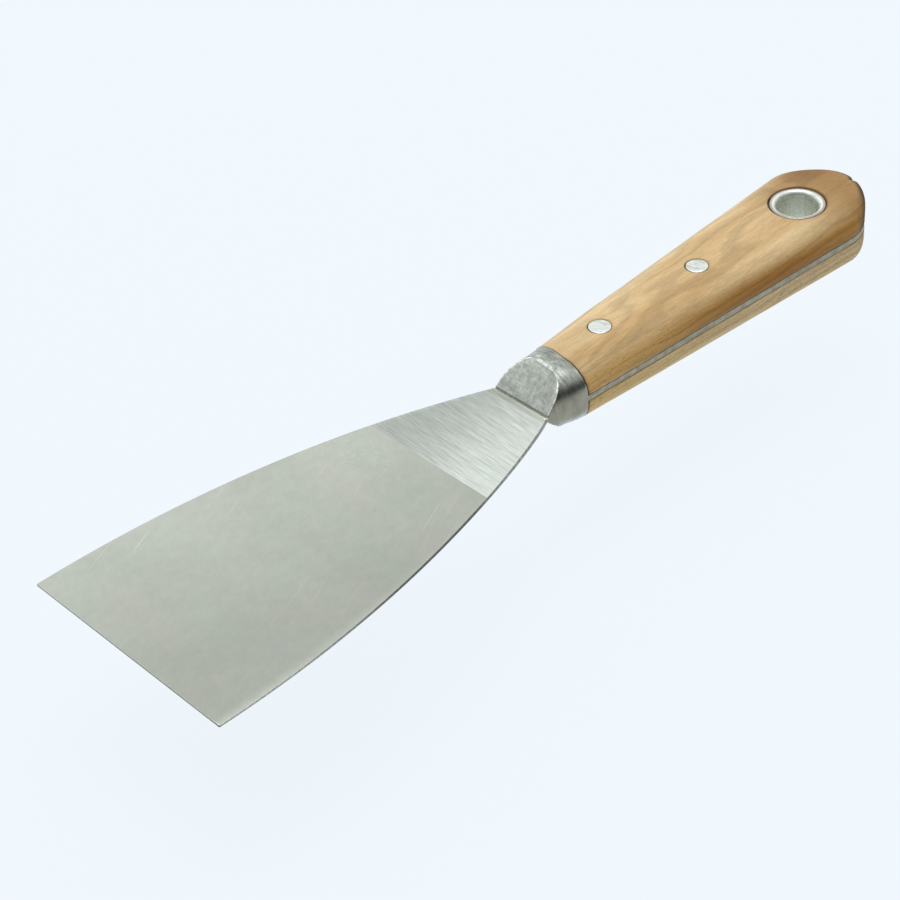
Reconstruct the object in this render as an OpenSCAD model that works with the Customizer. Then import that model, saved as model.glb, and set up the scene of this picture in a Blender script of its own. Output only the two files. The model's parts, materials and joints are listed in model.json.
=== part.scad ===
// Flexible putty knife: a forged blade with a full tang between two riveted beech scales.
// Millimetres, +Z up. The origin is on the axis of the hang hole, at the middle of the tang's thickness.
// +X runs along the knife towards the blade's tip, and +Y across its width.

/* [Blade] */
// Width of the straight tip edge
blade_w = 60; // [50:1:70]
// Distance of the tip edge from the hang hole
tip_x = 203; // [190:1:215]
// Radius of the blade's long curved sides
blade_side_r = 278; // [270:1:300]
// How far behind the tip edge the blade is widest
widest_behind_tip = 3; // [0:1:6]
// How far behind the tip edge the grind line lies, where the thin flexible part begins
grind_behind_tip = 82; // [75:0.5:90]
// Thickness at the tip edge
tip_t = 0.45; // [0.4:0.05:0.7]
// Thickness at the grind line
grind_t = 0.9; // [0.7:0.1:1.5]
// Thickness at the neck, in front of the bolster
neck_t = 1.3; // [1.1:0.1:2.4]

/* [Blade flex] */
// How far in front of the grind line the bending axis lies
flex_from_grind = 34.5; // [30:0.5:45]
// Clearance between the two stretches of the blade at the bending axis
flex_gap = 0.2; // [0.15:0.05:0.3]

/* [Handle] */
// Distance of the seam between bolster and wood from the hang hole
seam_x = 81.7; // [75:0.1:88]
// Width of the handle at that seam
seam_w = 19.8; // [18:0.2:22]
// Radius of the handle's round butt
butt_r = 13.4; // [12.5:0.1:15]
// How far behind the hang hole the butt's centre lies
butt_behind_hole = 5.4; // [4:0.1:7]
// Thickness of the handle, through both scales and the tang
handle_t = 15; // [14.5:0.5:18]
// Radius of the rounding along the handle's edges
edge_r = 5.6; // [4.5:0.1:6]
// Thickness of the tang
tang_t = 1.5; // [1.2:0.1:2]

/* [Bolster] */
// Distance from the seam to the upper edge of the sloping facets
facet_top_from_seam = 4.4; // [3:0.1:6]
// Length of the sloping facets along the knife
facet_run = 7.4; // [6:0.1:9]
// Radius of the groove across the foot of each facet
foot_groove_r = 0.3; // [0.2:0.05:0.5]

/* [Rivets] */
// Diameter of the two rivets
rivet_d = 5.3; // [4:0.1:6]
// Distance of the front rivet from the hang hole
front_rivet_x = 67.6; // [60:0.1:70]
// Distance of the rear rivet from the hang hole
rear_rivet_x = 35.4; // [25:0.1:45]

/* [Hang hole] */
// Diameter of the clear hole through the eyelet
hang_hole_d = 9.8; // [8:0.1:10.4]
// Wall of the eyelet's tube
eyelet_wall = 0.8; // [0.6:0.1:1]
// Outer diameter of the eyelet's rolled rims
eyelet_rim_d = 13.5; // [13.2:0.1:14.4]
// Thickness of the rolled rims
eyelet_rim_t = 0.8; // [0.6:0.1:1]
// How far the rims lie below the wood's faces
eyelet_sunk = 0.2; // [0.1:0.05:0.4]

/* [Hidden] */
$fn = 96;
long_arc_fn = 1440;

// Radial play of the rivets and of the eyelet's tube in their holes, and of its rims in their recesses
hole_play = 0.05;
rim_play = 0.2;

handle_h = handle_t / 2;
seam_h = seam_w / 2;
rivet_r = rivet_d / 2;

// The handle's straight sides pass just inside the butt's disc, so that they cross it cleanly
butt_side_inset = 0.1;
butt_x = -butt_behind_hole;
butt_h = butt_r - butt_side_inset;

// Stations along the blade
facet_top_x = seam_x + facet_top_from_seam;
foot_x = facet_top_x + facet_run;
grind_x = tip_x - grind_behind_tip;
flex_x = grind_x + flex_from_grind;
flex_t = grind_t + (tip_t - grind_t) * flex_from_grind / grind_behind_tip;
flex_nose_r = flex_t / 2;

// Centre of the arc of the blade's +Y side, and half the blade's width at the bolster's foot
side_x = tip_x - widest_behind_tip;
side_y = blade_w / 2 - sqrt(pow(blade_side_r, 2) - pow(widest_behind_tip, 2));
foot_h = side_y + sqrt(pow(blade_side_r, 2) - pow(side_x - foot_x, 2));

// Eyelet
hang_hole_r = hang_hole_d / 2;
tube_r = hang_hole_r + eyelet_wall;
rim_r = eyelet_rim_d / 2;
rim_top = handle_h - eyelet_sunk;
rim_foot = rim_top - eyelet_rim_t;

// Boxes and prisms that only cut are this much larger than what they cut
over = 2 * blade_w;

steel = [0.74, 0.76, 0.73];
satin_steel = [0.70, 0.72, 0.68];
beech = [0.78, 0.64, 0.45];
aluminium = [0.86, 0.87, 0.88];

// Shared shapes

// A side view in X and Z, symmetric about the tang's plane, carried across the whole width.
// upper lists [x, half thickness] from the handle towards the tip.
module side_view(upper) {
    under = [for (i = [len(upper) - 1 : -1 : 0]) [upper[i][0], -upper[i][1]]];
    rotate([90, 0, 0])
        linear_extrude(over, center = true)
            polygon(concat(upper, under));
}

// The space between the blade's two long curved sides
module between_blade_sides() {
    intersection_for (side = [-1, 1])
        translate([side_x, side * side_y, 0])
            cylinder(handle_t, r = blade_side_r, center = true, $fn = long_arc_fn);
}

// Section through one rounded edge: the wall is at 0, and the solid lies inwards from it
module edge_section() {
    wall_h = handle_h - edge_r;
    translate([0, -wall_h])
        square([over, 2 * wall_h]);
    translate([edge_r, -handle_h])
        square([over, handle_t]);
    for (side = [-1, 1])
        translate([edge_r, side * wall_h])
            circle(edge_r);
}

// The slab between two rounded edges, on the plan line through [x0, y0] and [x1, y1] and on its mirror image
module between_edges(x0, y0, x1, y1) {
    intersection_for (side = [0, 1])
        mirror([0, side, 0])
            translate([x0, y0, 0])
                rotate([90, 0, atan2(y1 - y0, x1 - x0) - 90])
                    linear_extrude(4 * over, center = true)
                        edge_section();
}

// A cylinder right through the handle, for a hole or a rivet
module through_handle(x, r, height = over) {
    translate([x, 0, 0])
        cylinder(height, r = r, center = true);
}

// Steel forging

module blade_root() {
    intersection() {
        between_blade_sides();
        side_view([
            [seam_x, neck_t / 2],
            [foot_x, neck_t / 2],
            [grind_x, grind_t / 2],
            [flex_x - flex_gap, flex_t / 2]
        ]);
    }
}

// The bolster: rounded sides that draw in towards the neck, cut above and below by a sloping flat facet
module bolster() {
    intersection() {
        between_edges(seam_x, seam_h, foot_x, foot_h);
        side_view([
            [seam_x, handle_h],
            [facet_top_x, handle_h],
            [foot_x, neck_t / 2]
        ]);
    }
}

// The full tang: the handle's own outline, a tenth of its thickness
module tang() {
    intersection() {
        handle_blank();
        cube([4 * over, over, tang_t], center = true);
    }
}

// Blade, bolster and full tang, up to the axis at which the blade's thin end bends
module forged_blade_and_tang() {
    color(steel)
        difference() {
            union() {
                blade_root();
                bolster();
                tang();
            }
            for (side = [-1, 1])
                translate([foot_x, 0, side * neck_t / 2])
                    rotate([90, 0, 0])
                        cylinder(over, r = foot_groove_r, center = true);
            translate([flex_x, 0, 0])
                rotate([90, 0, 0])
                    cylinder(over, r = flex_nose_r + flex_gap, center = true);
            through_handle(front_rivet_x, rivet_r + hole_play);
            through_handle(rear_rivet_x, rivet_r + hole_play);
            through_handle(0, tube_r + hole_play);
        }
}

// The thin end of the same blade, which flexes: it ends in a round nose on the bending axis
module flexing_blade_end() {
    color(satin_steel)
        intersection() {
            between_blade_sides();
            union() {
                side_view([[flex_x, flex_t / 2], [tip_x, tip_t / 2]]);
                translate([flex_x, 0, 0])
                    rotate([90, 0, 0])
                        cylinder(over, r = flex_nose_r, center = true);
            }
        }
}

// Handle

// The handle's outer shape behind the seam, both scales and tang together: a tapered slab with rounded edges,
// whose end is a disc with the same rounded edge
module handle_blank() {
    intersection() {
        between_edges(butt_x, butt_h, seam_x, seam_h);
        union() {
            translate([butt_x, -over / 2, -over / 2])
                cube([seam_x - butt_x, over, over]);
            translate([butt_x, 0, 0])
                rotate_extrude()
                    butt_section();
        }
    }
}

// Half section of the disc at the butt
module butt_section() {
    intersection() {
        translate([butt_r, 0])
            mirror([1, 0])
                edge_section();
        translate([0, -handle_t])
            square([butt_r, 2 * handle_t]);
    }
}

// The upper scale, with holes for the rivets and a recessed seat for the eyelet
module handle_scale() {
    color(beech)
        difference() {
            intersection() {
                handle_blank();
                translate([-over, -over / 2, tang_t / 2])
                    cube([2 * over, over, handle_t]);
            }
            through_handle(front_rivet_x, rivet_r + hole_play);
            through_handle(rear_rivet_x, rivet_r + hole_play);
            through_handle(0, tube_r + hole_play);
            translate([0, 0, rim_foot])
                cylinder(handle_t, r = rim_r + rim_play);
        }
}

module upper_handle_scale() {
    handle_scale();
}

module lower_handle_scale() {
    mirror([0, 0, 1])
        handle_scale();
}

// Fasteners

module front_handle_rivet() {
    color(aluminium)
        through_handle(front_rivet_x, rivet_r, handle_t);
}

module rear_handle_rivet() {
    color(aluminium)
        through_handle(rear_rivet_x, rivet_r, handle_t);
}

// Half section of the eyelet: the tube's wall and a rim with rounded lips at each end
module eyelet_section() {
    lip_r = eyelet_rim_t / 2;
    lip_z = rim_foot + lip_r;
    translate([hang_hole_r, -lip_z])
        square([eyelet_wall, 2 * lip_z]);
    for (side = [-1, 1]) {
        translate([hang_hole_r + lip_r, side * lip_z - lip_r])
            square([rim_r - hang_hole_r - 2 * lip_r, eyelet_rim_t]);
        translate([hang_hole_r + lip_r, side * lip_z])
            circle(lip_r, $fn = 48);
        translate([rim_r - lip_r, side * lip_z])
            circle(lip_r, $fn = 48);
    }
}

module hang_hole_eyelet() {
    color(aluminium)
        rotate_extrude()
            eyelet_section();
}

forged_blade_and_tang();
flexing_blade_end();
upper_handle_scale();
lower_handle_scale();
front_handle_rivet();
rear_handle_rivet();
hang_hole_eyelet();
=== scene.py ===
import json
import math

import bmesh
import bpy
from mathutils import Matrix, Vector, noise


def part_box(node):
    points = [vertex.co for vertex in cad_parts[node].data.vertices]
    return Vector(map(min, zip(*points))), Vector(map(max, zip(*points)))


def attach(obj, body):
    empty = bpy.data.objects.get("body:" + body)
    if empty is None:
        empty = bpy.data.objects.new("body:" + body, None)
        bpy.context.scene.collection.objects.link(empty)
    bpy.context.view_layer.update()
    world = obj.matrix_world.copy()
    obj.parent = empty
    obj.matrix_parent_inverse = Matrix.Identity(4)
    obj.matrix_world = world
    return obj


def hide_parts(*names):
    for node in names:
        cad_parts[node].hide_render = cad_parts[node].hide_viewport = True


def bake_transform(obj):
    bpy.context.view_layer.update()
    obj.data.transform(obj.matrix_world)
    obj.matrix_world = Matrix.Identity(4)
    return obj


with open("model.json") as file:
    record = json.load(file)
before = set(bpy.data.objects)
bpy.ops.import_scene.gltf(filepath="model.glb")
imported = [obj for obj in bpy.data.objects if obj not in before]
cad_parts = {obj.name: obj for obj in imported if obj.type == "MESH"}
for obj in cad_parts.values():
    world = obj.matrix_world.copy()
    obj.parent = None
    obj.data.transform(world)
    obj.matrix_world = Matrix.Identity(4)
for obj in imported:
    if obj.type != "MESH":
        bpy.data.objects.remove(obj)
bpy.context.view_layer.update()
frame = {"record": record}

# The looks of a flexible putty knife: one steel forging, two beech scales, two rivets and an eyelet.
# Shapes are worked out in millimetres in the row frame, and become metres where a mesh is made.
MM = 0.001


def box_mm(node):
    """A CAD node's lowest and highest corners, in millimetres."""
    low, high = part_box(node)
    return low / MM, high / MM


# Places and sizes that the CAD frame gives
scale_low, scale_high = box_mm("upper_handle_scale")
blade_high = box_mm("flexing_blade_end")[1]
rim_high = box_mm("hang_hole_eyelet")[1]
rivet_boxes = {name: box_mm(name) for name in ("front_handle_rivet", "rear_handle_rivet")}
hang_hole = next(m for m in frame["record"]["mounts"] if m["name"] == "hang_hole")
SEAM_X = scale_high.x
HANDLE_H = scale_high.z
TANG_H = scale_low.z
TIP_X = blade_high.x
BLADE_H = blade_high.y
RIM_R = rim_high.x
RIM_TOP = rim_high.z
HOLE_R = hang_hole["dims"]["r_mm"]
RIVETS = {name: (low.x + high.x) / 2 for name, (low, high) in rivet_boxes.items()}
rivet_low, rivet_high = rivet_boxes["front_handle_rivet"]
RIVET_R = (rivet_high.x - rivet_low.x) / 2

# Handle in plan. The butt is a little fuller at its sides and its end than between them, and has one nick.
BUTT_R = 13.35
BUTT_X = -5.38
BUTT_EASE = 0.055
SEAM_H = 9.5
TAPER_END_H = 9.9
LEAN = 0.55
SEAM_SKEW = 1.7
NICK_DEPTH = 0.7
NICK_ANGLE = 168

# Handle in section: how far the rounding reaches across at the seam and at the butt, and how far the crowned
# face falls towards its edges there. Above it is for the +Y and the -Y edge, below for the sides and the
# butt's end. JOINT_EASE sets back each scale's corner by the tang.
UPPER_EDGE = {"seam": 6.6, "butt": 5.4, "seam_crown": 0.7, "butt_crown": 0.45}
UPPER_FAR_EDGE = {"seam": 8.6, "butt": 2.8, "seam_crown": 1.1, "butt_crown": 0.35}
LOWER_EDGE = {"seam": 5.7, "butt": 3.0, "seam_crown": 0.2, "butt_crown": 0.2}
LOWER_END_EDGE = {"seam": 5.7, "butt": 6.6, "seam_crown": 0.2, "butt_crown": 0.2}
HIGHEST_ROUNDING = 6.2
JOINT_EASE = {"upper": 0.3, "lower": 0.14}

# Bolster
NECK_H = 8.3
SHOULDER_R = 7.2
FACET_TOP_X = SEAM_X + 4.4
FOOT_X = FACET_TOP_X + 7.4
RIDGE_BEVEL = 0.32
GROOVE_DEPTH = 0.3
LIP_HEIGHT = 0.15
FILLET_HEIGHT = 0.05

# Blade
GRIND_X = TIP_X - 82
SIDE_R = 278.0
WIDEST_X = TIP_X - 3.0
NECK_T = 1.3
GRIND_T = 0.9
TIP_T = 0.45
EDGE_BEVEL = 0.07

# Fasteners, and the play round them
TUBE_R = HOLE_R + 0.8
RIM_ROLL_R = 0.42
RIM_FLARE = 1.9
STEEL_PLAY = 0.06
RIVET_PLAY = 0.07
TUBE_PLAY = 0.05
RIM_PLAY = 0.22
SEAT_DEPTH = 0.86

REST = "rest_shape"


# Small helpers


def smooth(low, high, value):
    """0 below low, 1 above high, and a smooth step between them."""
    share = min(max((value - low) / (high - low), 0.0), 1.0)
    return share * share * (3 - 2 * share)


def mix(a, b, share):
    return a + (b - a) * share


def spread(low, high, count):
    """count + 1 even values from low to high."""
    return [mix(low, high, i / count) for i in range(count + 1)]


def hump(value, centre, width):
    """A bell of height 1."""
    return math.exp(-(((value - centre) / width) ** 2))


def new_piece(name, points, faces, zones=None):
    """A mesh object from points in millimetres. zones gives each face's material index."""
    mesh = bpy.data.meshes.new(name)
    mesh.from_pydata([Vector(p) * MM for p in points], [], faces)
    if zones:
        mesh.polygons.foreach_set("material_index", zones)
    piece = bpy.data.objects.new(name, mesh)
    bpy.context.scene.collection.objects.link(piece)
    return piece


def tidy_mesh(piece, merge=0.004, sharp_deg=32):
    """Merges points that coincide, turns every face outwards, and shades smooth up to the sharp edges."""
    made = bmesh.new()
    made.from_mesh(piece.data)
    bmesh.ops.remove_doubles(made, verts=made.verts, dist=merge * MM)
    bmesh.ops.dissolve_degenerate(made, edges=made.edges, dist=merge * MM)
    bmesh.ops.recalc_face_normals(made, faces=made.faces)
    for face in made.faces:
        face.smooth = True
    for edge in made.edges:
        edge.smooth = edge.is_manifold and edge.calc_face_angle() < math.radians(sharp_deg)
    made.to_mesh(piece.data)
    made.free()


def cut(piece, cutters):
    """Cuts closed shapes out of a piece and removes them."""
    for cutter in cutters:
        boolean = piece.modifiers.new("cut", "BOOLEAN")
        boolean.operation = "DIFFERENCE"
        boolean.solver = "EXACT"
        boolean.object = cutter
    graph = bpy.context.evaluated_depsgraph_get()
    made = bpy.data.meshes.new_from_object(piece.evaluated_get(graph))
    piece.modifiers.clear()
    piece.data = made
    made.name = piece.name
    for cutter in cutters:
        bpy.data.objects.remove(cutter)


def lathe(name, profile, x=0.0, turns=128, closed=False):
    """A solid turned about a vertical axis at x. profile lists (radius, height), and radius 0 is the axis."""
    points, faces = [], []
    count = len(profile)
    for i in range(turns):
        angle = 2 * math.pi * i / turns
        points += [(x + r * math.cos(angle), r * math.sin(angle), z) for r, z in profile]
    for i in range(turns):
        here, there = i * count, (i + 1) % turns * count
        for k in range(count if closed else count - 1):
            n = (k + 1) % count
            faces.append((here + k, there + k, there + n, here + n))
    piece = new_piece(name, points, faces)
    tidy_mesh(piece)
    return piece


# The forging: blade, bolster and full tang as one skin of closed sections along the knife


def handle_half_width(x):
    """Half the handle's width in front of the butt's centre: a taper that draws in a little at the seam."""
    taper = mix(BUTT_R, TAPER_END_H, (x - BUTT_X) / (SEAM_X - BUTT_X))
    return taper - (TAPER_END_H - SEAM_H) * hump(x, SEAM_X, 14)


def butt_point(angle):
    """The butt's outline in plan, at an angle in degrees about its centre: (x, y)."""
    turn = math.radians(angle)
    radius = BUTT_R * (1 - BUTT_EASE * math.sin(2 * turn) ** 2)
    return BUTT_X + radius * math.cos(turn), radius * math.sin(turn)


def lean(x):
    """How far the forging's middle line swerves to +Y round the bolster."""
    return LEAN * hump(x, SEAM_X + 9, 26)


def skewed(x, y):
    """The seam lies a little askew: its far side is nearer to the butt."""
    fade = smooth(62, SEAM_X, x) * (1 - smooth(SEAM_X, FOOT_X - 1, x))
    return x - SEAM_SKEW * fade * smooth(5, -SEAM_H, y)


def edge_rounding(x, edge):
    """How far the handle's rounded edge reaches across and up at x, and its crown there."""
    back = max((SEAM_X - x) / (SEAM_X - BUTT_X), 0.0)
    across = mix(edge["seam"], edge["butt"], back**0.85)
    return across, min(across, HIGHEST_ROUNDING), mix(edge["seam_crown"], edge["butt_crown"], back)


def forging_half_width(x):
    """Half the width of bolster and blade. The neck draws in a little under the blade's long arc."""
    along = (x - SEAM_X) / (FOOT_X - SEAM_X)
    bolster = mix(SEAM_H, NECK_H, max(along, 0.0) ** 1.25)
    arc = BLADE_H - SIDE_R + math.sqrt(SIDE_R**2 - (x - WIDEST_X) ** 2)
    flared = arc - 0.4 * math.exp(-(x - FOOT_X) / 1.8) - 0.25 * hump(x, FOOT_X, 16)
    corner = 0.25
    return min(0.5 * (bolster + flared + math.hypot(bolster - flared, corner)), BLADE_H)


def forging_half_thickness(x):
    """Half the thickness of bolster and blade, with the groove and the small lip at the facet's foot."""
    facet = HANDLE_H - (x - FACET_TOP_X) * (HANDLE_H - NECK_T / 2) / (FOOT_X - FACET_TOP_X)
    if x < GRIND_X:
        blade = mix(NECK_T, GRIND_T, (x - FOOT_X) / (GRIND_X - FOOT_X)) / 2
    else:
        blade = mix(GRIND_T, TIP_T, (x - GRIND_X) / (TIP_X - GRIND_X)) / 2
    plain = min(max(facet, blade), HANDLE_H)
    groove = GROOVE_DEPTH * hump(x, FOOT_X - 0.12, 0.15)
    lip = LIP_HEIGHT * hump(x, FOOT_X + 0.3, 0.22)
    fillet = FILLET_HEIGHT * hump(x, FOOT_X + 0.8, 1.2)
    return plain - groove + lip + (fillet if x > FOOT_X else 0.0)


def shoulder_point(x, share, height, edge):
    """A point on the forging's rounded side, at share of the way up to height: (inset from the side, z)."""
    turn = smooth(SEAM_X, FACET_TOP_X + 2, x)
    seam_across, seam_rise, _ = edge_rounding(x, edge)
    wall = mix(HANDLE_H - seam_rise, 0.0, turn)
    across = mix(seam_across, SHOULDER_R, turn)
    rise = HANDLE_H - wall
    end = math.asin(min(max((height - wall) / rise, 0.0), 1.0))
    straight = min(wall, height)
    curved = 0.5 * (across + rise)
    length = share * (straight + curved * end)
    if length <= straight:
        return 0.0, length
    angle = (length - straight) / curved
    return across * (1 - math.cos(angle)), wall + rise * math.sin(angle)


SIDE_STEPS = 14
TOP_STEPS = 12


def quarter_section(x, half_w, half_t, bevel, edge):
    """A quarter of a section, from its side to its middle line: (y, z)."""
    keep = 1 - bevel / (half_t * 1.2)
    side = [shoulder_point(x, share, half_t, edge) for share in spread(0, keep, SIDE_STEPS)]
    quarter = [(half_w - inset, z) for inset, z in side]
    flat = half_w - shoulder_point(x, 1, half_t, edge)[0] - bevel
    eased_y = (quarter[-1][0] + flat) / 2 + 0.15 * bevel
    eased_z = (quarter[-1][1] + half_t) / 2 + 0.15 * bevel
    quarter.append((min(eased_y, half_w), min(eased_z, half_t)))
    quarter += [(y, half_t) for y in spread(flat, 0, TOP_STEPS)]
    fade = 1 - smooth(SEAM_X, FOOT_X, x)
    crown = edge_rounding(x, edge)[2] * fade * min(half_t / HANDLE_H, 1.0) ** 4
    return [(y, z - crown * (y / half_w) ** 2 * smooth(0, half_t, z)) for y, z in quarter]


def forging_section(x, half_w, half_t, bevel):
    """A closed section: its two upper quarters, then the lower one and its mirror image."""
    upper = quarter_section(x, half_w, half_t, bevel, UPPER_EDGE)
    upper_far = quarter_section(x, half_w, half_t, bevel, UPPER_FAR_EDGE)
    lower = quarter_section(x, half_w, half_t, bevel, LOWER_EDGE)
    ring = list(upper)
    ring += [(-y, z) for y, z in reversed(upper_far[:-1])]
    ring += [(-y, -z) for y, z in lower[1:]]
    ring += [(y, -z) for y, z in reversed(lower[1:-1])]
    return [(skewed(x, y), y + lean(x), z) for y, z in ring]


def section_labels():
    """What each side of a section belongs to, in the order of its points."""
    quarter = ["side"] * SIDE_STEPS + ["ridge"] * 2 + ["top"] * TOP_STEPS
    return (quarter + quarter[::-1]) * 2


def forging_zone(x, label):
    """The name of the finish at one stretch of the forging. The bolster's end face at the seam takes the
    edges' finish, which paints shade on it."""
    if abs(x - SEAM_X) < 0.01:
        return "edge"
    if x < SEAM_X:
        return "tang"
    if x < FACET_TOP_X - RIDGE_BEVEL:
        return "bolster"
    if x < FACET_TOP_X + RIDGE_BEVEL and label == "top":
        return "ridge"
    if x < FOOT_X:
        return {"top": "facet", "ridge": "ridge", "side": "bolster"}[label]
    if label != "top":
        return "edge"
    return "brushed" if x < GRIND_X else "matte"


def forging_stations():
    """Each section along the knife: (x, half width, half thickness, bevel)."""
    tang = [butt_point(angle) for angle in spread(172, 90, 22)]
    tang += [(x, handle_half_width(x)) for x in spread(BUTT_X, SEAM_X, 36)[1:]]
    made = [(x, half_w - 0.1, TANG_H - 0.01, 0.06) for x, half_w in tang]
    made.append((SEAM_X, SEAM_H - 0.05, HANDLE_H - 0.1, RIDGE_BEVEL))
    solid = [SEAM_X + 0.12, SEAM_X + 0.7, SEAM_X + 1.5, SEAM_X + 2.3, SEAM_X + 3.1, SEAM_X + 3.7]
    solid += [FACET_TOP_X - RIDGE_BEVEL, FACET_TOP_X]
    facet_end = FOOT_X - 0.7
    solid += [
        FACET_TOP_X + RIDGE_BEVEL + (facet_end - FACET_TOP_X - RIDGE_BEVEL) * (1 - math.cos(math.radians(a)))
        for a in spread(0, 90, 26)
    ]
    solid += spread(facet_end, FOOT_X + 2.5, 40)[1:]
    solid += spread(FOOT_X + 2.5, GRIND_X, 18)[1:]
    solid += spread(GRIND_X, TIP_X - 0.4, 64)[1:]
    for x in solid:
        bevel = mix(RIDGE_BEVEL, EDGE_BEVEL, smooth(FOOT_X - 1, FOOT_X + 1.5, x))
        made.append((x, forging_half_width(x), forging_half_thickness(x), bevel))
    for back, thinner in ((0.15, 0.0), (0.03, 0.04), (0.0, 0.09)):
        x = TIP_X - back
        narrower = 0.25 * (1 - back / 0.15)
        made.append((x, forging_half_width(x) - narrower, forging_half_thickness(x) - thinner, EDGE_BEVEL))
    return made


def through_hole(name, radius, x, turns):
    """A plain cutter that goes through the tang."""
    reach = TANG_H + 1
    return lathe(name, [(0, -reach), (radius, -reach), (radius, reach), (0, reach)], x, turns)


ZONES = ["matte", "brushed", "facet", "bolster", "ridge", "edge", "tang"]


def build_forging():
    """One skin over all sections, with a finish for each face and holes for the fasteners. Its shape at rest
    is kept in an attribute, which places the textures."""
    stations = forging_stations()
    labels = section_labels()
    count = len(labels)
    points, faces, zones = [], [], []
    for station in stations:
        points += forging_section(*station)
    for s in range(len(stations) - 1):
        middle = (stations[s][0] + stations[s + 1][0]) / 2
        for i, label in enumerate(labels):
            here, there, n = s * count, (s + 1) * count, (i + 1) % count
            faces.append((here + i, here + n, there + n, there + i))
            zones.append(ZONES.index(forging_zone(middle, label)))
    last = (len(stations) - 1) * count
    faces += [tuple(range(count)), tuple(range(last, last + count))]
    zones += [ZONES.index("tang"), ZONES.index("edge")]
    piece = new_piece("steel_forging", points, faces, zones)
    tidy_mesh(piece)
    for zone in ZONES:
        piece.data.materials.append(FORGING_FINISHES[zone])
    cutters = [through_hole("rivet_hole", RIVET_R + STEEL_PLAY, x, 64) for x in RIVETS.values()]
    cutters.append(through_hole("tube_hole", TUBE_R + STEEL_PLAY, 0.0, 128))
    cut(piece, cutters)
    tidy_mesh(piece)
    rest = piece.data.attributes.new(REST, "FLOAT_VECTOR", "POINT")
    rest.data.foreach_set("vector", [c for v in piece.data.vertices for c in v.co])
    return piece


# Handle scales


def scale_ribs():
    """The ribs of a scale in plan, from seam to seam round the butt: (outer point, inner point, angle)."""
    side = spread(SEAM_X, BUTT_X, 56)
    ribs = [((x, handle_half_width(x)), (x, 0.0), 90.0) for x in side]
    ribs += [(butt_point(angle), (BUTT_X, 0.0), angle) for angle in spread(90, 270, 60)[1:-1]]
    ribs += [((x, -handle_half_width(x)), (x, 0.0), 270.0) for x in reversed(side)]
    return ribs


def rib_rounding(x, angle, side):
    """The scale's rounding at a rib. Above, it changes from the +Y edge's to the -Y edge's round the butt.
    Below, it is larger at the butt's end than along the sides."""
    if side > 0:
        turn, first, second = smooth(98, 138, angle), UPPER_EDGE, UPPER_FAR_EDGE
    else:
        turn, first, second = smooth(88, 165, angle) - smooth(195, 272, angle), LOWER_EDGE, LOWER_END_EDGE
    return [mix(a, b, turn) for a, b in zip(edge_rounding(x, first), edge_rounding(x, second))]


def rib_profile(across, rise, ease):
    """Section through the scale's edge: (inset, height) from the tang up the wall and over the rounding.
    ease is how far the corner by the tang stands back."""
    wall = HANDLE_H - rise
    profile = [(ease, TANG_H), (ease * 0.3, TANG_H + 0.12), (0.0, TANG_H + 0.3)]
    profile += [(0.0, z) for z in spread(TANG_H + 0.3, wall, 4)[1:]]
    for turn in spread(0, 90, 16)[1:]:
        a = math.radians(turn)
        profile.append((across * (1 - math.cos(a)), wall + rise * math.sin(a)))
    return profile


def scale_cutters(side):
    """The rivets' holes and the eyelet's hole with the recess round its rim, widened at the top."""
    top = HANDLE_H + 1
    rivet = RIVET_R + RIVET_PLAY
    hole = [(0, -1), (rivet, -1), (rivet, HANDLE_H - 0.28)]
    hole += [(rivet + 0.5, HANDLE_H + 0.2), (rivet + 0.5, top), (0, top)]
    tube = TUBE_R + TUBE_PLAY
    seat = RIM_R + RIM_PLAY
    seat_foot = RIM_TOP - SEAT_DEPTH
    recess = [(0, -1), (tube, -1), (tube, seat_foot), (seat, seat_foot), (seat, HANDLE_H - 0.4)]
    recess += [(seat + 0.12, HANDLE_H - 0.2), (seat + 0.6, HANDLE_H + 0.25), (seat + 0.6, top), (0, top)]
    cutters = [lathe("hole", [(r, side * z) for r, z in hole], x) for x in RIVETS.values()]
    cutters.append(lathe("recess", [(r, side * z) for r, z in recess]))
    return cutters


CROWN_STEPS = 12


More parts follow.
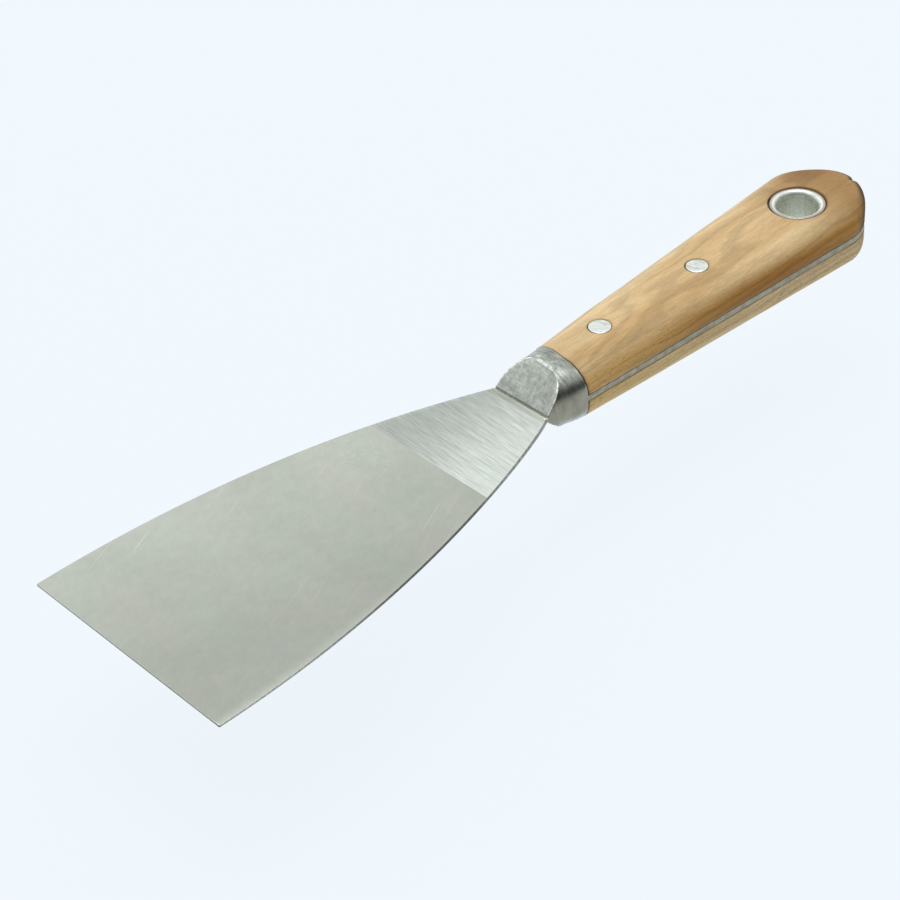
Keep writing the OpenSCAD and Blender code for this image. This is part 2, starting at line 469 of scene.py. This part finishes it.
def build_scale(name, side, seed, finish):
    """One scale: ribs from its rounded edge to the middle line, with a crowned top. side is 1 above and -1
    below. It has a fine uneven gap at the seam, and the upper one has the nick."""
    points, faces = [], []
    ease = JOINT_EASE["upper" if side > 0 else "lower"]
    ribs = scale_ribs()
    for outer, inner, angle in ribs:
        width = math.dist(outer, inner)
        across, rise, crown = rib_rounding(outer[0], angle, side)
        wall = HANDLE_H - rise
        profile = rib_profile(across, rise, ease)
        profile += [(inset, HANDLE_H) for inset in spread(across, width, CROWN_STEPS)[1:]]
        profile.append((width, TANG_H))
        for inset, z in profile:
            outward = (width - inset) / width
            if z > wall:
                z -= crown * outward**2 * (z - wall) / rise
            nick = NICK_DEPTH * hump(angle, NICK_ANGLE, 3.5) * smooth(3, 6.5, z) * (side > 0)
            inwards = min((inset + nick) / width, 1.0)
            x = mix(outer[0], inner[0], inwards)
            y = mix(outer[1], inner[1], inwards)
            gap = 0.1 + 0.22 * smooth(0, 9, y) * (1 + noise.noise(Vector((0, y, z)) * 0.9))
            loose = smooth(0, 8, SEAM_X - outer[0]) * smooth(1, 2, z)
            sway = noise.noise(Vector((x, y, z + 40 * seed)) / 11)
            z -= 0.05 * loose * (1 + sway)
            points.append((skewed(min(x, SEAM_X - gap), y), y + lean(x), side * z))
    count = len(profile)
    for i in range(len(ribs) - 1):
        here, there = i * count, (i + 1) * count
        rim = [k for k in range(count) if k != count - 2]
        faces += [(here + k, there + k, there + (k + 1) % count, here + (k + 1) % count) for k in rim]
    last = (len(ribs) - 1) * count
    faces += [tuple(range(count)), tuple(range(last, last + count))]
    piece = new_piece(name, points, faces)
    tidy_mesh(piece)
    piece.data.materials.append(finish)
    cut(piece, scale_cutters(side))
    tidy_mesh(piece)
    return piece


# Fasteners


def build_rivet(name, x, finish):
    """A rivet pin with two flush heads, slightly domed and eased along the rim."""
    head = [(0, HANDLE_H), (1.2, HANDLE_H - 0.008), (1.9, HANDLE_H - 0.025), (2.3, HANDLE_H - 0.06)]
    head += [(2.48, HANDLE_H - 0.1), (2.6, HANDLE_H - 0.18), (RIVET_R, HANDLE_H - 0.3)]
    profile = head + [(r, -z) for r, z in reversed(head)]
    piece = lathe(name, profile, x, 96)
    piece.data.materials.append(finish)
    return piece


def build_eyelet(finish):
    """A tube whose two rims roll outwards over the wood's recess."""
    crest = RIM_R - RIM_ROLL_R
    inner = [math.radians(a) for a in spread(180, 90, 16)]
    outer = [math.radians(a) for a in spread(90, -60, 14)[1:]]
    width = crest - HOLE_R
    flare_z = RIM_TOP - RIM_FLARE
    roll_z = RIM_TOP - RIM_ROLL_R
    upper = [(crest + width * math.cos(a), flare_z + RIM_FLARE * math.sin(a)) for a in inner]
    upper += [(crest + RIM_ROLL_R * math.cos(a), roll_z + RIM_ROLL_R * math.sin(a)) for a in outer]
    upper.append((TUBE_R, upper[-1][1]))
    profile = upper + [(r, -z) for r, z in reversed(upper)]
    piece = lathe("rolled_eyelet", profile, closed=True)
    piece.data.materials.append(finish)
    return piece


# Finishes


class Finish:
    """A procedural material: a Principled shader, and short calls for the nodes that feed it.
    Its textures are placed in millimetres, by the piece's own coordinates or by its shape at rest."""

    def __init__(self, name, metallic=0.0, by_rest_shape=False):
        self.material = bpy.data.materials.new(name)
        self.material.use_nodes = True
        self.tree = self.material.node_tree
        self.tree.nodes.clear()
        self.shader = self.node("ShaderNodeBsdfPrincipled")
        self.shader.inputs["Metallic"].default_value = metallic
        output = self.node("ShaderNodeOutputMaterial")
        self.tree.links.new(self.shader.outputs["BSDF"], output.inputs["Surface"])
        if by_rest_shape:
            source = self.node("ShaderNodeAttribute", attribute_name=REST)
            place = source.outputs["Vector"]
        else:
            place = self.node("ShaderNodeTexCoord").outputs["Object"]
        scale = self.node("ShaderNodeVectorMath", operation="MULTIPLY")
        self.feed(scale.inputs[0], place)
        self.feed(scale.inputs[1], (1 / MM,) * 3)
        self.place = scale.outputs[0]
        split = self.node("ShaderNodeSeparateXYZ")
        self.feed(split.inputs[0], self.place)
        self.x, self.y, self.z = split.outputs

    def node(self, kind, **settings):
        made = self.tree.nodes.new(kind)
        for key, value in settings.items():
            setattr(made, key, value)
        return made

    def feed(self, socket, value):
        if isinstance(value, bpy.types.NodeSocket):
            self.tree.links.new(value, socket)
        elif socket.type == "VECTOR":
            socket.default_value = value[:3]
        else:
            socket.default_value = value

    def calc(self, operation, a, b=0.0):
        made = self.node("ShaderNodeMath", operation=operation)
        self.feed(made.inputs[0], a)
        self.feed(made.inputs[1], b)
        return made.outputs[0]

    def noise(self, stretch, detail=3.0, rough=0.5, shift=(0.0, 0.0, 0.0), turn=0.0):
        """Noise from 0 to 1. stretch is how many cells there are in a millimetre along X, Y and Z."""
        place = self.place
        if turn:
            rotate = self.node("ShaderNodeVectorRotate", rotation_type="Z_AXIS")
            self.feed(rotate.inputs["Vector"], place)
            self.feed(rotate.inputs["Angle"], math.radians(turn))
            place = rotate.outputs[0]
        put = self.node("ShaderNodeVectorMath", operation="MULTIPLY_ADD")
        self.feed(put.inputs[0], place)
        self.feed(put.inputs[1], stretch)
        self.feed(put.inputs[2], shift)
        made = self.node("ShaderNodeTexNoise")
        self.feed(made.inputs["Vector"], put.outputs[0])
        self.feed(made.inputs["Scale"], 1.0)
        self.feed(made.inputs["Detail"], detail)
        self.feed(made.inputs["Roughness"], rough)
        return made.outputs[0]

    def band(self, value, low, high, start=0.0, end=1.0):
        """A smooth step of value from low to high, as start to end."""
        made = self.node("ShaderNodeMapRange", interpolation_type="SMOOTHSTEP")
        for socket, number in zip(made.inputs, (value, low, high, start, end)):
            self.feed(socket, number)
        return made.outputs[0]

    def mix(self, share, a, b):
        made = self.node("ShaderNodeMix", data_type="RGBA")
        self.feed(made.inputs[0], share)
        self.feed(made.inputs[6], a)
        self.feed(made.inputs[7], b)
        return made.outputs[2]

    def tint(self, colour, by):
        """Multiplies a colour by another."""
        made = self.node("ShaderNodeVectorMath", operation="MULTIPLY")
        self.feed(made.inputs[0], colour)
        self.feed(made.inputs[1], by)
        return made.outputs[0]

    def brighten(self, colour, amount):
        """Multiplies a colour by a number."""
        made = self.node("ShaderNodeVectorMath", operation="SCALE")
        self.feed(made.inputs[0], colour)
        self.feed(made.inputs["Scale"], amount)
        return made.outputs[0]

    def reach(self, x, y, radius_x, radius_y):
        """Distance from a point in plan, 1 on an ellipse round it."""
        along = self.calc("DIVIDE", self.calc("SUBTRACT", self.x, x), radius_x)
        across = self.calc("DIVIDE", self.calc("SUBTRACT", self.y, y), radius_y)
        squares = [self.calc("POWER", share, 2.0) for share in (along, across)]
        return self.calc("SQRT", self.calc("ADD", *squares))

    def bump(self, height, depth):
        """Adds relief of that many millimetres to the shader's normal."""
        made = self.node("ShaderNodeBump")
        made.inputs["Strength"].default_value = 1.0
        made.inputs["Distance"].default_value = depth * MM
        self.feed(made.inputs["Height"], height)
        if self.shader.inputs["Normal"].links:
            self.feed(made.inputs["Normal"], self.shader.inputs["Normal"].links[0].from_socket)
        self.feed(self.shader.inputs["Normal"], made.outputs[0])

    def colour(self, value):
        self.feed(self.shader.inputs["Base Color"], value)

    def roughness(self, value):
        self.feed(self.shader.inputs["Roughness"], value)


def rgb(red, green, blue):
    return (red, green, blue, 1.0)


def strokes(finish, stretch, low, high, seed=0.0, turn=0.0):
    """Fine parallel strokes as a number about 1, from low to high."""
    fine = finish.noise(stretch, 2.0, 0.7, (seed, seed, seed), turn)
    broad = finish.noise([s * 0.35 for s in stretch], 1.0, 0.5, (seed + 7, seed, seed), turn)
    both = finish.calc("ADD", finish.calc("MULTIPLY", fine, 0.65), finish.calc("MULTIPLY", broad, 0.35))
    return finish.band(both, 0.28, 0.72, low, high), both


def matte_steel():
    """The flexible part of the blade: satin steel with faint clouds, a wiped spot and a few hair scratches.
    Painted shade darkens it towards +Y, and a little towards the tip."""
    f = Finish("satin_blade_steel", 1.0, True)
    cloud = f.noise((0.05, 0.05, 0.05), 3.0, 0.55)
    warm = f.noise((0.09, 0.07, 0.09), 2.0, 0.5, (31.0, 5.0, 2.0))
    colour = f.mix(f.band(warm, 0.35, 0.65), rgb(0.507, 0.543, 0.477), rgb(0.523, 0.541, 0.482))
    colour = f.brighten(colour, f.band(cloud, 0.25, 0.75, 0.95, 1.05))
    patch = f.calc("ADD", f.reach(GRIND_X + 9, -11, 9, 13), f.band(warm, 0.2, 0.8, -0.5, 0.5))
    colour = f.brighten(colour, f.band(patch, 0.2, 1.3, 0.99, 1.0))
    mottle = f.noise((0.30, 0.42, 0.30), 4.0, 0.62, (3.0, 14.0, 6.0))
    colour = f.brighten(colour, f.band(mottle, 0.3, 0.7, 0.975, 1.025))
    speck = f.noise((1.1, 1.4, 1.1), 3.0, 0.7, (6.0, 2.0, 9.0))
    wiped = f.calc("MULTIPLY", f.band(patch, 0.3, 1.3, 1.0, 0.0), f.band(speck, 0.48, 0.68))
    colour = f.brighten(colour, f.band(wiped, 0.0, 1.0, 1.0, 1.08))
    # Painted shade: the colour darkens towards +Y and a little towards the tip.
    across = f.calc("MULTIPLY", f.y, 0.7)
    along = f.calc("MULTIPLY", f.calc("SUBTRACT", f.x, 160.0), 0.15)
    colour = f.brighten(colour, f.band(f.calc("ADD", across, along), -24, 24, 0.99, 0.75))
    shade, _ = strokes(f, (1.6, 0.5, 0.5), 0.975, 1.025, 3.0, 32.0)
    hair = f.noise((0.035, 3.0, 0.5), 1.0, 0.5, (4.0, 0.0, 0.0), -24.0)
    rare = f.noise((0.04, 0.04, 0.04), 1.0, 0.5, (17.0, 3.0, 0.0))
    scratch = f.calc("MULTIPLY", f.band(hair, 0.70, 0.74), f.band(rare, 0.48, 0.58))
    colour = f.brighten(f.brighten(colour, shade), f.band(scratch, 0.0, 1.0, 1.0, 1.18))
    f.colour(colour)
    f.roughness(f.band(cloud, 0.25, 0.75, 0.44, 0.38))
    f.bump(f.noise((3.0, 3.0, 3.0), 3.0, 0.6), 0.004)
    f.bump(scratch, -0.004)
    return f.material


def brushed_steel():
    """The ground part behind the grind line: crisp strokes straight across the blade."""
    f = Finish("ground_blade_steel", 1.0, True)
    shade, grain = strokes(f, (6.5, 0.22, 0.4), 0.74, 1.24, 5.0, 3.0)
    # Painted light and shade: the strokes darken towards -Y and brighten towards +Y.
    painted_sheen = f.band(f.y, -13, 14, 0.78, 1.22)
    colour = f.brighten(rgb(0.560, 0.600, 0.555), f.calc("MULTIPLY", shade, painted_sheen))
    foot = f.band(f.x, FOOT_X + 1.0, FOOT_X + 2.0)
    smear = f.mix(foot, rgb(0.84, 0.80, 0.75), rgb(1, 1, 1))
    f.colour(f.tint(colour, smear))
    f.roughness(f.band(grain, 0.3, 0.7, 0.40, 0.27))
    f.bump(grain, 0.02)
    return f.material


def facet_steel():
    """The bolster's sloping facets: mottled satin with fine pits and cross strokes."""
    f = Finish("facet_steel", 1.0, True)
    mottle = f.noise((0.7, 1.1, 0.7), 4.0, 0.66, (2.0, 9.0, 4.0))
    shade, grain = strokes(f, (3.4, 0.3, 0.5), 0.84, 1.14, 11.0, 6.0)
    colour = f.mix(f.band(mottle, 0.3, 0.7), rgb(0.40, 0.43, 0.385), rgb(0.58, 0.62, 0.555))
    pits = f.noise((2.2, 2.8, 2.2), 2.0, 0.5, (8.0, 1.0, 0.0))
    colour = f.brighten(f.brighten(colour, shade), f.band(pits, 0.28, 0.4, 0.72, 1.0))
    f.colour(colour)
    f.roughness(f.band(mottle, 0.3, 0.7, 0.42, 0.32))
    f.bump(mottle, 0.03)
    f.bump(pits, 0.02)
    return f.material


def bolster_steel():
    """The bolster's shoulders and sides: strokes round the knife, stains and a worn patch by the ridge.
    Painted shade darkens the side walls, and the top towards -Y.
    """
    f = Finish("polished_bolster_steel", 1.0, True)
    shade, grain = strokes(f, (4.2, 0.2, 0.2), 0.72, 1.26, 21.0)
    stain = f.noise((0.5, 0.28, 0.28), 4.0, 0.68, (3.0, 3.0, 8.0))
    # Painted shade: the side walls are painted darker and browner than the top, and the top darkens towards
    # -Y.
    side = f.band(f.calc("ABSOLUTE", f.z), 2.0, 5.0)
    top = f.mix(f.band(f.y, -6.5, -1.5), rgb(0.325, 0.355, 0.315), rgb(0.365, 0.385, 0.34))
    colour = f.mix(side, rgb(0.31, 0.295, 0.235), top)
    shade = f.calc("POWER", shade, f.band(side, 0.0, 1.0, 0.35, 1.0))
    worn = f.noise((1.1, 0.6, 0.6), 3.0, 0.65, (12.0, 5.0, 1.0))
    by_ridge = f.calc("ADD", f.reach(FACET_TOP_X, 1.0, 2.8, 5.5), f.band(worn, 0.25, 0.75, 0.55, -0.55))
    colour = f.mix(f.band(by_ridge, 0.6, 1.0, 0.85, 0.0), colour, rgb(0.54, 0.58, 0.515))
    blotch = f.calc("POWER", f.band(stain, 0.3, 0.7, 0.55, 1.28), f.band(side, 0.0, 1.0, 0.3, 1.0))
    colour = f.brighten(f.brighten(colour, shade), blotch)
    f.colour(colour)
    f.roughness(f.calc("ADD", f.band(side, 0.0, 1.0, 0.34, 0.24), f.band(grain, 0.3, 0.7, 0.06, -0.03)))
    f.bump(grain, 0.014)
    f.bump(stain, 0.05)
    return f.material


def ridge_steel():
    """The bright line along the facets' edge: worn steel, painted brighter as a highlight."""
    f = Finish("worn_ridge_painted_highlight", 1.0, True)
    wear_and_highlight = f.noise((1.2, 1.2, 1.2), 3.0, 0.6, (6.0, 2.0, 5.0))
    # Painted highlight: the ridge is painted far brighter than the steel beside it, partly for wear.
    f.colour(f.mix(f.band(wear_and_highlight, 0.35, 0.6), rgb(0.48, 0.51, 0.46), rgb(0.92, 0.95, 0.90)))
    f.roughness(f.band(wear_and_highlight, 0.3, 0.7, 0.45, 0.3))
    f.bump(wear_and_highlight, 0.04)
    return f.material


def edge_steel():
    """The forging's thin edges, with painted light and shade: they darken past the grind line, brighten
    towards the tip, and carry painted shade across its end and at the seam."""
    f = Finish("sheared_edge_painted_shade", 1.0, True)
    grain = f.noise((1.4, 1.4, 3.0), 2.0, 0.6, (1.0, 8.0, 2.0))
    rough = f.mix(f.band(grain, 0.35, 0.7), rgb(0.22, 0.225, 0.20), rgb(0.36, 0.37, 0.33))
    # Painted shade on the bolster's end face at the seam, and painted light and shade along the blade's
    # edges.
    rough = f.brighten(rough, f.band(f.x, SEAM_X + 1, SEAM_X + 3, 0.15, 1.0))
    rough = f.brighten(rough, f.band(f.x, GRIND_X - 6, GRIND_X + 6, 1.0, 0.4))
    rough = f.brighten(rough, f.band(f.x, GRIND_X + 25, TIP_X - 15, 1.0, 3.4))
    f.colour(f.brighten(rough, f.band(f.x, TIP_X - 0.5, TIP_X - 0.1, 1.0, 0.3)))
    f.roughness(f.band(grain, 0.3, 0.7, 0.5, 0.35))
    f.bump(grain, 0.02)
    return f.material


def tang_steel():
    """The tang's edge between the scales: grey, sanded along the handle."""
    f = Finish("sanded_tang_steel", 1.0, True)
    shade, grain = strokes(f, (0.25, 0.25, 5.0), 0.85, 1.12, 41.0)
    spot = f.noise((0.6, 0.6, 0.6), 3.0, 0.6, (4.0, 4.0, 4.0))
    colour = f.mix(f.band(spot, 0.35, 0.7), rgb(0.29, 0.27, 0.20), rgb(0.38, 0.365, 0.29))
    f.colour(f.brighten(colour, shade))
    f.roughness(f.band(spot, 0.3, 0.7, 0.5, 0.38))
    f.bump(grain, 0.015)
    return f.material


def growth_rings(f, seed, waver):
    """Rings about a line below the handle. They drift slowly along it, and waver."""
    off_y = f.calc("SUBTRACT", f.y, 4.0 + seed)
    off_z = f.calc("ADD", f.z, 30.0)
    radius = f.calc("SQRT", f.calc("ADD", f.calc("POWER", off_y, 2.0), f.calc("POWER", off_z, 2.0)))
    radius = f.calc("ADD", radius, f.calc("MULTIPLY", f.x, 0.035))
    radius = f.calc("ADD", radius, f.calc("MULTIPLY", waver, 7.0))
    rings = f.node("ShaderNodeTexNoise", noise_dimensions="1D")
    f.feed(rings.inputs["W"], f.calc("MULTIPLY", radius, 1.15))
    f.feed(rings.inputs["Scale"], 1.0)
    f.feed(rings.inputs["Detail"], 2.0)
    return rings.outputs[0]


def faces_backwards(f):
    """1 where the wood faces the butt's end, and 0 elsewhere. It fades out towards the -Y side."""
    normal = f.node("ShaderNodeTexCoord").outputs["Normal"]
    split = f.node("ShaderNodeSeparateXYZ")
    f.feed(split.inputs[0], normal)
    backwards = f.band(f.calc("MULTIPLY", split.outputs[0], -1.0), 0.05, 0.5)
    return f.calc("MULTIPLY", backwards, f.band(split.outputs[1], -0.9, 0.15))


def beech(name, seed, light, dark, rear, front_flank_painted_shading, rear_flank_painted_shading, end_grain_and_shade_share, joint_shade):
    """Beech: growth rings about a pith line beside the handle, fine pores, ray flecks and darker end grain,
    with painted shade on the butt's end, round the holes, by the seam and along the tang. rear tints the
    faces behind the eyelet. The flank colours paint light and shade onto the sides near the tang. The end
    share is how strongly the end grain and its painted shade show, and joint_shade how dark the painted
    shadow line along the tang is."""
    f = Finish(name)
    drift = (seed * 3.1, seed * 1.7, seed * 5.3)
    ring = growth_rings(f, seed, f.noise((0.022, 0.09, 0.09), 2.0, 0.5, drift))
    tone = f.noise((0.016, 0.14, 0.14), 3.0, 0.55, (drift[1], drift[0], 9.0))
    colour = f.mix(f.band(tone, 0.3, 0.7), dark, light)
    colour = f.brighten(colour, f.band(ring, 0.3, 0.62, 0.84, 1.05))
    pores = f.noise((0.3, 5.0, 5.0), 3.0, 0.65, (seed, 3.0, 1.0))
    colour = f.brighten(colour, f.band(pores, 0.3, 0.6, 0.82, 1.04))
    rays = f.noise((1.5, 7.0, 2.4), 2.0, 0.55, (9.0, seed, 2.0))
    fleck = f.band(rays, 0.55, 0.68)
    # Painted light and shade: the sides near the tang are tinted darker and more amber on the upper scale,
    # and bluish towards the butt on the lower.
    flank = f.band(f.calc("ABSOLUTE", f.z), 3.5, 7.2, 1.0, 0.0)
    flank_painted_shading = f.tint(colour, f.mix(f.band(f.x, 20, 85), rear_flank_painted_shading, front_flank_painted_shading))
    colour = f.mix(flank, f.mix(f.band(f.x, -13, 14), f.tint(colour, rear), colour), flank_painted_shading)
    strength = f.band(flank, 0.0, 1.0, 0.22, 0.42)
    colour = f.mix(f.calc("MULTIPLY", fleck, strength), colour, rgb(0.20, 0.105, 0.04))
    # Painted shade: faces towards the butt's end are painted very dark brown, as end grain deepened by shade.
    behind = faces_backwards(f)
    speckle = f.noise((2.5, 4.0, 4.0), 3.0, 0.6, (5.0, 5.0, seed))
    end_grain_and_shade = f.mix(f.band(speckle, 0.35, 0.65), rgb(0.022, 0.013, 0.005), rgb(0.060, 0.037, 0.014))
    colour = f.mix(f.calc("MULTIPLY", behind, end_grain_and_shade_share), colour, end_grain_and_shade)
    # Painted shade: the wood darkens in a ring round the eyelet's recess and round each rivet's hole.
    for x, radius in ((0.0, RIM_R + 0.2), *((x, RIVET_R) for x in RIVETS.values())):
        near = f.reach(x, 0.0, radius, radius)
        colour = f.brighten(colour, f.band(near, 1.0, 1.0 + 0.8 / radius, 0.72, 1.0))
    # Painted shade: the wood darkens towards the seam with the bolster, and a painted shadow line runs along
    # the tang, darker on the upper scale.
    seam = f.band(f.x, SEAM_X - 1.0, SEAM_X - 0.1, 1.0, 0.72)
    joint_line = f.band(f.calc("ABSOLUTE", f.z), TANG_H + 0.05, TANG_H + 0.32, joint_shade, 1.0)
    f.colour(f.brighten(f.brighten(colour, seam), joint_line))
    f.roughness(f.calc("ADD", f.band(tone, 0.3, 0.7, 0.52, 0.44), f.calc("MULTIPLY", behind, 0.3)))
    f.shader.inputs["Specular IOR Level"].default_value = 0.25
    f.bump(pores, 0.03)
    f.bump(rays, 0.02)
    f.bump(ring, 0.03)
    return f.material


def rivet_aluminium(name, seed, turn):
    """Sanded rivet heads: bright, with fine scratches that all run one way and a few gouges."""
    f = Finish(name, 1.0)
    shade, grain = strokes(f, (0.5, 4.0, 1.0), 0.86, 1.06, seed, turn)
    gouge = f.noise((0.35, 1.7, 0.6), 1.0, 0.5, (seed, 2.0, 0.0), turn + 18)
    dent = f.band(gouge, 0.60, 0.66)
    colour = f.brighten(rgb(0.75, 0.79, 0.74), shade)
    f.colour(f.brighten(colour, f.band(dent, 0.0, 1.0, 1.0, 0.8)))
    f.roughness(f.band(grain, 0.3, 0.7, 0.42, 0.3))
    f.bump(grain, 0.02)
    f.bump(dent, -0.03)
    return f.material


def eyelet_aluminium():
    """The rolled eyelet: bright rim with small dents, and draw marks down the tube's wall."""
    f = Finish("rolled_aluminium", 0.6)
    draw, grain = strokes(f, (1.7, 1.7, 0.08), 0.84, 1.08, 14.0)
    inside = f.band(f.reach(0.0, 0.0, HOLE_R, HOLE_R), 1.01, 1.10)
    dents = f.noise((0.7, 0.7, 0.7), 2.0, 0.5, (2.0, 6.0, 3.0))
    wall = f.brighten(rgb(0.75, 0.77, 0.68), draw)
    crest = f.band(f.reach(0.0, 0.0, RIM_R, RIM_R), 0.86, 0.93)
    rim = f.mix(crest, rgb(0.86, 0.90, 0.84), rgb(0.46, 0.42, 0.38))
    f.colour(f.mix(inside, wall, f.brighten(rim, f.band(dents, 0.3, 0.6, 0.88, 1.06))))
    f.roughness(f.band(dents, 0.3, 0.7, 0.38, 0.22))
    f.bump(dents, 0.08)
    f.bump(grain, 0.01)
    return f.material


def pale_floor():
    """A floor that glows faintly, so that it is even and almost free of shadow."""
    f = Finish("pale_floor")
    f.shader.inputs["Base Color"].default_value = rgb(0.050, 0.056, 0.062)
    f.shader.inputs["Emission Color"].default_value = rgb(0.87, 0.924, 0.973)
    f.shader.inputs["Emission Strength"].default_value = 0.944
    f.shader.inputs["Roughness"].default_value = 0.9
    f.shader.inputs["Specular IOR Level"].default_value = 0.1
    return f.material


# Stage

CAMERA_AZIMUTH = math.radians(139.7)
CAMERA_ELEVATION = math.radians(38.31)
CAMERA_ROLL = math.radians(-4.57)
CAMERA_DISTANCE = 0.5332
CAMERA_TARGET = Vector((0.11486, 0.00054, 0.0))
LENS_MM = 98.55
FLOOR_Z = -0.04
FLOOR_SIZE = 12.0
SOFTBOX_SIZE = 1.3
SOFTBOX_POWER = 17.0
SOFTBOX_DISTANCE = 2.6
SOFTBOX_ELEVATION = math.radians(84)
STUDIO_LEVELS = ((0.0, 0.05), (0.16, 0.12), (0.35, 0.45), (0.6, 0.95), (0.8, 1.25), (1.0, 0.86))


def direction(azimuth, elevation):
    """From the object towards a camera at that azimuth and elevation, in radians."""
    level = math.cos(elevation)
    return Vector((math.sin(azimuth) * level, -math.cos(azimuth) * level, math.sin(elevation)))


def build_camera():
    """A long lens beyond the tip on the +Y side, with a slight roll."""
    back = direction(CAMERA_AZIMUTH, CAMERA_ELEVATION)
    right = Vector((0, 0, 1)).cross(back).normalized()
    up = back.cross(right)
    turn = Matrix.Rotation(CAMERA_ROLL, 3, back)
    camera = bpy.data.objects.new("camera", bpy.data.cameras.new("camera"))
    camera.data.lens = LENS_MM
    camera.data.sensor_width = 36.0
    camera.data.clip_start = 0.01
    axes = Matrix((turn @ right, turn @ up, back)).transposed()
    camera.matrix_world = Matrix.LocRotScale(CAMERA_TARGET + back * CAMERA_DISTANCE, axes, None)
    bpy.context.scene.collection.objects.link(camera)
    bpy.context.scene.camera = camera


def build_floor():
    """A wide plain floor a little way below the knife."""
    half = FLOOR_SIZE / 2 / MM
    corners = [(-half, -half, 0), (half, -half, 0), (half, half, 0), (-half, half, 0)]
    floor = new_piece("floor", corners, [(0, 1, 2, 3)])
    floor.location.z = FLOOR_Z
    floor.data.materials.append(pale_floor())


def build_softbox():
    """A large soft key light above and a little beyond the knife."""
    light = bpy.data.lights.new("softbox", "AREA")
    light.shape = "SQUARE"
    light.size = SOFTBOX_SIZE
    light.energy = SOFTBOX_POWER
    box = bpy.data.objects.new("softbox", light)
    aim = direction(CAMERA_AZIMUTH + math.radians(180), SOFTBOX_ELEVATION)
    box.location = CAMERA_TARGET + aim * SOFTBOX_DISTANCE
    box.rotation_euler = aim.to_track_quat("Z", "Y").to_euler()
    bpy.context.scene.collection.objects.link(box)


def build_world():
    """A studio that is bright above and beyond the knife, and dim behind the camera."""
    world = bpy.data.worlds.new("studio")
    world.use_nodes = True
    tree = world.node_tree
    tree.nodes.clear()
    place = tree.nodes.new("ShaderNodeTexCoord")
    beyond = direction(CAMERA_AZIMUTH + math.radians(180), 0.0)
    height = tree.nodes.new("ShaderNodeVectorMath")
    height.operation = "DOT_PRODUCT"
    height.inputs[1].default_value = (beyond.x * 0.55, beyond.y * 0.55, 0.85)
    ramp = tree.nodes.new("ShaderNodeValToRGB")
    for i, (at, level) in enumerate(STUDIO_LEVELS):
        stop = ramp.color_ramp.elements[i] if i < 2 else ramp.color_ramp.elements.new(at)
        stop.position = at
        stop.color = (level * 0.985, level, level * 1.01, 1.0)
    studio = tree.nodes.new("ShaderNodeBackground")
    seen = tree.nodes.new("ShaderNodeBackground")
    seen.inputs["Color"].default_value = (0.87, 0.93, 0.98, 1.0)
    ray = tree.nodes.new("ShaderNodeLightPath")
    choose = tree.nodes.new("ShaderNodeMixShader")
    output = tree.nodes.new("ShaderNodeOutputWorld")
    tree.links.new(place.outputs["Generated"], height.inputs[0])
    tree.links.new(height.outputs["Value"], ramp.inputs[0])
    tree.links.new(ramp.outputs[0], studio.inputs["Color"])
    tree.links.new(ray.outputs["Is Camera Ray"], choose.inputs[0])
    tree.links.new(studio.outputs[0], choose.inputs[1])
    tree.links.new(seen.outputs[0], choose.inputs[2])
    tree.links.new(choose.outputs[0], output.inputs["Surface"])
    bpy.context.scene.world = world
    bpy.context.scene.view_settings.view_transform = "Standard"


# Assembly

FORGING_FINISHES = {
    "matte": matte_steel(),
    "brushed": brushed_steel(),
    "facet": facet_steel(),
    "bolster": bolster_steel(),
    "ridge": ridge_steel(),
    "edge": edge_steel(),
    "tang": tang_steel(),
}

build_camera()
build_floor()
build_softbox()
build_world()

forging = build_forging()
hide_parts("forged_blade_and_tang", "flexing_blade_end")
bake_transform(forging)

upper_wood = beech(
    "upper_beech",
    seed=1.0,
    light=rgb(0.818, 0.612, 0.333),
    dark=rgb(0.635, 0.412, 0.182),
    rear=rgb(0.50, 0.38, 0.23),
    # Painted shade: the flank colours darken the sides near the tang, and the last two numbers set the
    # painted shade on the butt's end and along the tang.
    front_flank_painted_shading=rgb(0.80, 0.66, 0.42),
    rear_flank_painted_shading=rgb(0.55, 0.36, 0.12),
    end_grain_and_shade_share=0.88,
    joint_shade=0.15,
)
lower_wood = beech(
    "lower_beech",
    seed=6.0,
    light=rgb(0.800, 0.580, 0.250),
    dark=rgb(0.650, 0.445, 0.170),
    rear=rgb(0.85, 0.83, 0.85),
    # Painted light: the rear flank colour gives the sides a bluish light towards the butt.
    front_flank_painted_shading=rgb(1.0, 1.0, 1.0),
    rear_flank_painted_shading=rgb(0.93, 0.96, 1.2),
    end_grain_and_shade_share=0.2,
    joint_shade=0.5,
)
upper = build_scale("upper_scale", 1, 1, upper_wood)
lower = build_scale("lower_scale", -1, 2, lower_wood)
front_metal = rivet_aluminium("front_rivet_aluminium", 3.0, 40)
front = build_rivet("front_rivet", RIVETS["front_handle_rivet"], front_metal)
rear_metal = rivet_aluminium("rear_rivet_aluminium", 19.0, 65)
rear = build_rivet("rear_rivet", RIVETS["rear_handle_rivet"], rear_metal)
eyelet = build_eyelet(eyelet_aluminium())

rigid_pieces = (
    (upper, "upper_handle_scale", "handle_beech"),
    (lower, "lower_handle_scale", "handle_beech"),
    (front, "front_handle_rivet", "rivet_aluminium"),
    (rear, "rear_handle_rivet", "rivet_aluminium"),
    (eyelet, "hang_hole_eyelet", "eyelet_aluminium"),
)
for piece, node, slot in rigid_pieces:
    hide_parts(node)
    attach(piece, "knife")
